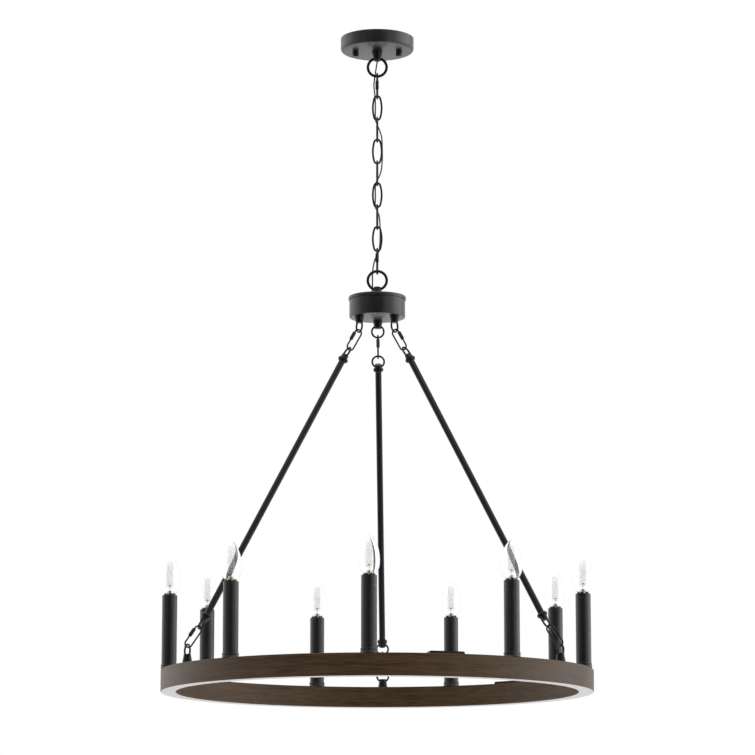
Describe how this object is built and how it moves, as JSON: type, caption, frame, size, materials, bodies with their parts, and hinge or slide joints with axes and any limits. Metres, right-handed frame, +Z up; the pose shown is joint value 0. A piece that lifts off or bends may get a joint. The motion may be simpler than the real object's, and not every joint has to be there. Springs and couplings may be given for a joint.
{
  "type": "chandelier",
  "caption": "Ring chandelier with candle-style lamps, hung by rods from a drum hub and by a chain from a round ceiling canopy",
  "frame": {"origin": "centre of the ceiling plane: the middle of the mounting plate's top face, between its two box-screw slots", "axes": "+Z up, -Y towards the viewer in the picture, +X to the viewer's right"},
  "size_m": [0.7112, 0.7153, 1.112],
  "materials": {
    "black": "satin black powder coat",
    "wood_grain": "matte brown wood-grain finish on steel",
    "lamp_glass": "clear",
    "zinc": "zinc plated",
    "connector": "moulded orange plastic",
    "cord": "matte black sheath"
  },
  "bodies": {
    "canopy": {"mounting_plate": "zinc", "mounting_studs": "zinc", "canopy": "black", "canopy_loop": "black", "canopy_locknut": "zinc", "ceiling_wire_nuts": "connector", "power_cord": "cord"},
    "knob_left": {"knob_left": "black"},
    "knob_right": {"knob_right": "black"},
    "top_link": {"top_link": "black"},
    "top_link_nut": {"top_link_nut": "black"},
    "link_1": {"chain_link_1": "black"},
    "link_2": {"chain_link_2": "black"},
    "link_3": {"chain_link_3": "black"},
    "link_4": {"chain_link_4": "black"},
    "link_5": {"chain_link_5": "black"},
    "link_6": {"chain_link_6": "black"},
    "link_7": {"chain_link_7": "black"},
    "bottom_link": {"bottom_link": "black"},
    "bottom_link_nut": {"bottom_link_nut": "black"},
    "hub": {"hub_lid": "black", "hub_body": "black", "hub_loop": "black", "hub_locknut": "zinc", "cord_bushing": "cord", "hub_eyes": "black", "hub_eye_nuts": "zinc", "hub_wire_nuts": "connector"},
    "left_leg": {"left_leg_links": "black", "left_rod": "black"},
    "left_upper_nut": {"left_upper_nut": "black"},
    "left_lower_nut": {"left_lower_nut": "black"},
    "right_leg": {"right_leg_links": "black", "right_rod": "black"},
    "right_upper_nut": {"right_upper_nut": "black"},
    "right_lower_nut": {"right_lower_nut": "black"},
    "back_leg": {"back_leg_links": "black", "back_rod": "black"},
    "back_upper_nut": {"back_upper_nut": "black"},
    "back_lower_nut": {"back_lower_nut": "black"},
    "wheel": {"ring_section_1": "wood_grain", "ring_section_2": "wood_grain", "ring_section_3": "wood_grain", "ring_eyes": "black", "ring_eye_nuts": "zinc", "splice_plates": "black", "splice_screws": "black", "candle_cups": "black", "candle_sleeves": "black", "lamp_sockets": "black", "socket_posts": "zinc"},
    "bulb_1": {"bulb_1": "lamp_glass"},
    "bulb_2": {"bulb_2": "lamp_glass"},
    "bulb_3": {"bulb_3": "lamp_glass"},
    "bulb_4": {"bulb_4": "lamp_glass"},
    "bulb_5": {"bulb_5": "lamp_glass"},
    "bulb_6": {"bulb_6": "lamp_glass"},
    "bulb_7": {"bulb_7": "lamp_glass"},
    "bulb_8": {"bulb_8": "lamp_glass"},
    "bulb_9": {"bulb_9": "lamp_glass"}
  },
  "joints": [
    {"name": "top_link_swing", "type": "hinge", "parent": "canopy", "child": "top_link", "pos_m": [0, 0, -0.0657], "axis": [1, 0, 0], "range_deg": [-15, 15], "deforming": ["power_cord"]},
    {"name": "link_1_swing", "type": "hinge", "parent": "top_link", "child": "link_1", "pos_m": [0, 0, -0.10415], "axis": [0, 1, 0], "range_deg": [-15, 15], "deforming": ["power_cord"]},
    {"name": "link_2_swing", "type": "hinge", "parent": "link_1", "child": "link_2", "pos_m": [0, 0, -0.14205], "axis": [1, 0, 0], "range_deg": [-15, 15], "deforming": ["power_cord"]},
    {"name": "link_3_swing", "type": "hinge", "parent": "link_2", "child": "link_3", "pos_m": [0, 0, -0.17995], "axis": [0, 1, 0], "range_deg": [-15, 15], "deforming": ["power_cord"]},
    {"name": "link_4_swing", "type": "hinge", "parent": "link_3", "child": "link_4", "pos_m": [0, 0, -0.21785], "axis": [1, 0, 0], "range_deg": [-15, 15], "deforming": ["power_cord"]},
    {"name": "link_5_swing", "type": "hinge", "parent": "link_4", "child": "link_5", "pos_m": [0, 0, -0.25575], "axis": [0, 1, 0], "range_deg": [-15, 15], "deforming": ["power_cord"]},
    {"name": "link_6_swing", "type": "hinge", "parent": "link_5", "child": "link_6", "pos_m": [0, 0, -0.29365], "axis": [1, 0, 0], "range_deg": [-15, 15], "deforming": ["power_cord"]},
    {"name": "link_7_swing", "type": "hinge", "parent": "link_6", "child": "link_7", "pos_m": [0, 0, -0.33155], "axis": [0, 1, 0], "range_deg": [-15, 15], "deforming": ["power_cord"]},
    {"name": "bottom_link_swing", "type": "hinge", "parent": "link_7", "child": "bottom_link", "pos_m": [0, 0, -0.36945], "axis": [1, 0, 0], "range_deg": [-15, 15], "deforming": ["power_cord"]},
    {"name": "hub_swing", "type": "hinge", "parent": "bottom_link", "child": "hub", "pos_m": [0, 0, -0.40855], "axis": [0, 1, 0], "range_deg": [-15, 15], "deforming": ["power_cord"]},
    {"name": "wheel_twist", "type": "hinge", "parent": "hub", "child": "wheel", "pos_m": [0, 0, -1.0766], "axis": [0, 0, 1], "range_deg": [-10, 10]},
    {"name": "left_leg_swing", "type": "hinge", "parent": "hub", "child": "left_leg", "pos_m": [-0.02944, -0.017, -0.5115], "axis": [0, 0, 1], "range_deg": [-11.6, 11.6]},
    {"name": "right_leg_swing", "type": "hinge", "parent": "hub", "child": "right_leg", "pos_m": [0.02953, -0.01685, -0.5115], "axis": [0, 0, 1], "range_deg": [-11.6, 11.6]},
    {"name": "back_leg_swing", "type": "hinge", "parent": "hub", "child": "back_leg", "pos_m": [-0.0003, 0.034, -0.5115], "axis": [0, 0, 1], "range_deg": [-11.6, 11.6]},
    {"name": "left_upper_nut_slide", "type": "slide", "parent": "left_leg", "child": "left_upper_nut", "axis": [-0.446, -0.2575, -0.8572], "range_m": [0, 0.0104]},
    {"name": "left_lower_nut_slide", "type": "slide", "parent": "left_leg", "child": "left_lower_nut", "axis": [-0.509, -0.2939, -0.809], "range_m": [0, 0.0104]},
    {"name": "right_upper_nut_slide", "type": "slide", "parent": "right_leg", "child": "right_upper_nut", "axis": [0.4474, -0.2552, -0.8572], "range_m": [0, 0.0104]},
    {"name": "right_lower_nut_slide", "type": "slide", "parent": "right_leg", "child": "right_lower_nut", "axis": [0.5106, -0.2912, -0.809], "range_m": [0, 0.0104]},
    {"name": "back_upper_nut_slide", "type": "slide", "parent": "back_leg", "child": "back_upper_nut", "axis": [-0.0045, 0.515, -0.8572], "range_m": [0, 0.0104]},
    {"name": "back_lower_nut_slide", "type": "slide", "parent": "back_leg", "child": "back_lower_nut", "axis": [-0.0051, 0.5878, -0.809], "range_m": [0, 0.0104]},
    {"name": "top_link_nut_slide", "type": "slide", "parent": "top_link", "child": "top_link_nut", "axis": [0, 0, -1], "range_m": [0, 0.007]},
    {"name": "bottom_link_nut_slide", "type": "slide", "parent": "bottom_link", "child": "bottom_link_nut", "axis": [0, 0, -1], "range_m": [0, 0.0105]},
    {"name": "knob_left_slide", "type": "slide", "parent": "canopy", "child": "knob_left", "axis": [0, 0, -1], "range_m": [0, 0.008]},
    {"name": "knob_right_slide", "type": "slide", "parent": "canopy", "child": "knob_right", "axis": [0, 0, -1], "range_m": [0, 0.008]},
    {"name": "bulb_1_slide", "type": "slide", "parent": "wheel", "child": "bulb_1", "axis": [0, 0, 1], "range_m": [0, 0.03]},
    {"name": "bulb_2_slide", "type": "slide", "parent": "wheel", "child": "bulb_2", "axis": [0, 0, 1], "range_m": [0, 0.03]},
    {"name": "bulb_3_slide", "type": "slide", "parent": "wheel", "child": "bulb_3", "axis": [0, 0, 1], "range_m": [0, 0.03]},
    {"name": "bulb_4_slide", "type": "slide", "parent": "wheel", "child": "bulb_4", "axis": [0, 0, 1], "range_m": [0, 0.03]},
    {"name": "bulb_5_slide", "type": "slide", "parent": "wheel", "child": "bulb_5", "axis": [0, 0, 1], "range_m": [0, 0.03]},
    {"name": "bulb_6_slide", "type": "slide", "parent": "wheel", "child": "bulb_6", "axis": [0, 0, 1], "range_m": [0, 0.03]},
    {"name": "bulb_7_slide", "type": "slide", "parent": "wheel", "child": "bulb_7", "axis": [0, 0, 1], "range_m": [0, 0.03]},
    {"name": "bulb_8_slide", "type": "slide", "parent": "wheel", "child": "bulb_8", "axis": [0, 0, 1], "range_m": [0, 0.03]},
    {"name": "bulb_9_slide", "type": "slide", "parent": "wheel", "child": "bulb_9", "axis": [0, 0, 1], "range_m": [0, 0.03]}
  ],
  "couplings": [
    {"joint": "left_leg_swing", "follows": "wheel_twist", "ratio": 1.1101},
    {"joint": "right_leg_swing", "follows": "wheel_twist", "ratio": 1.1101},
    {"joint": "back_leg_swing", "follows": "wheel_twist", "ratio": 1.1101}
  ]
}
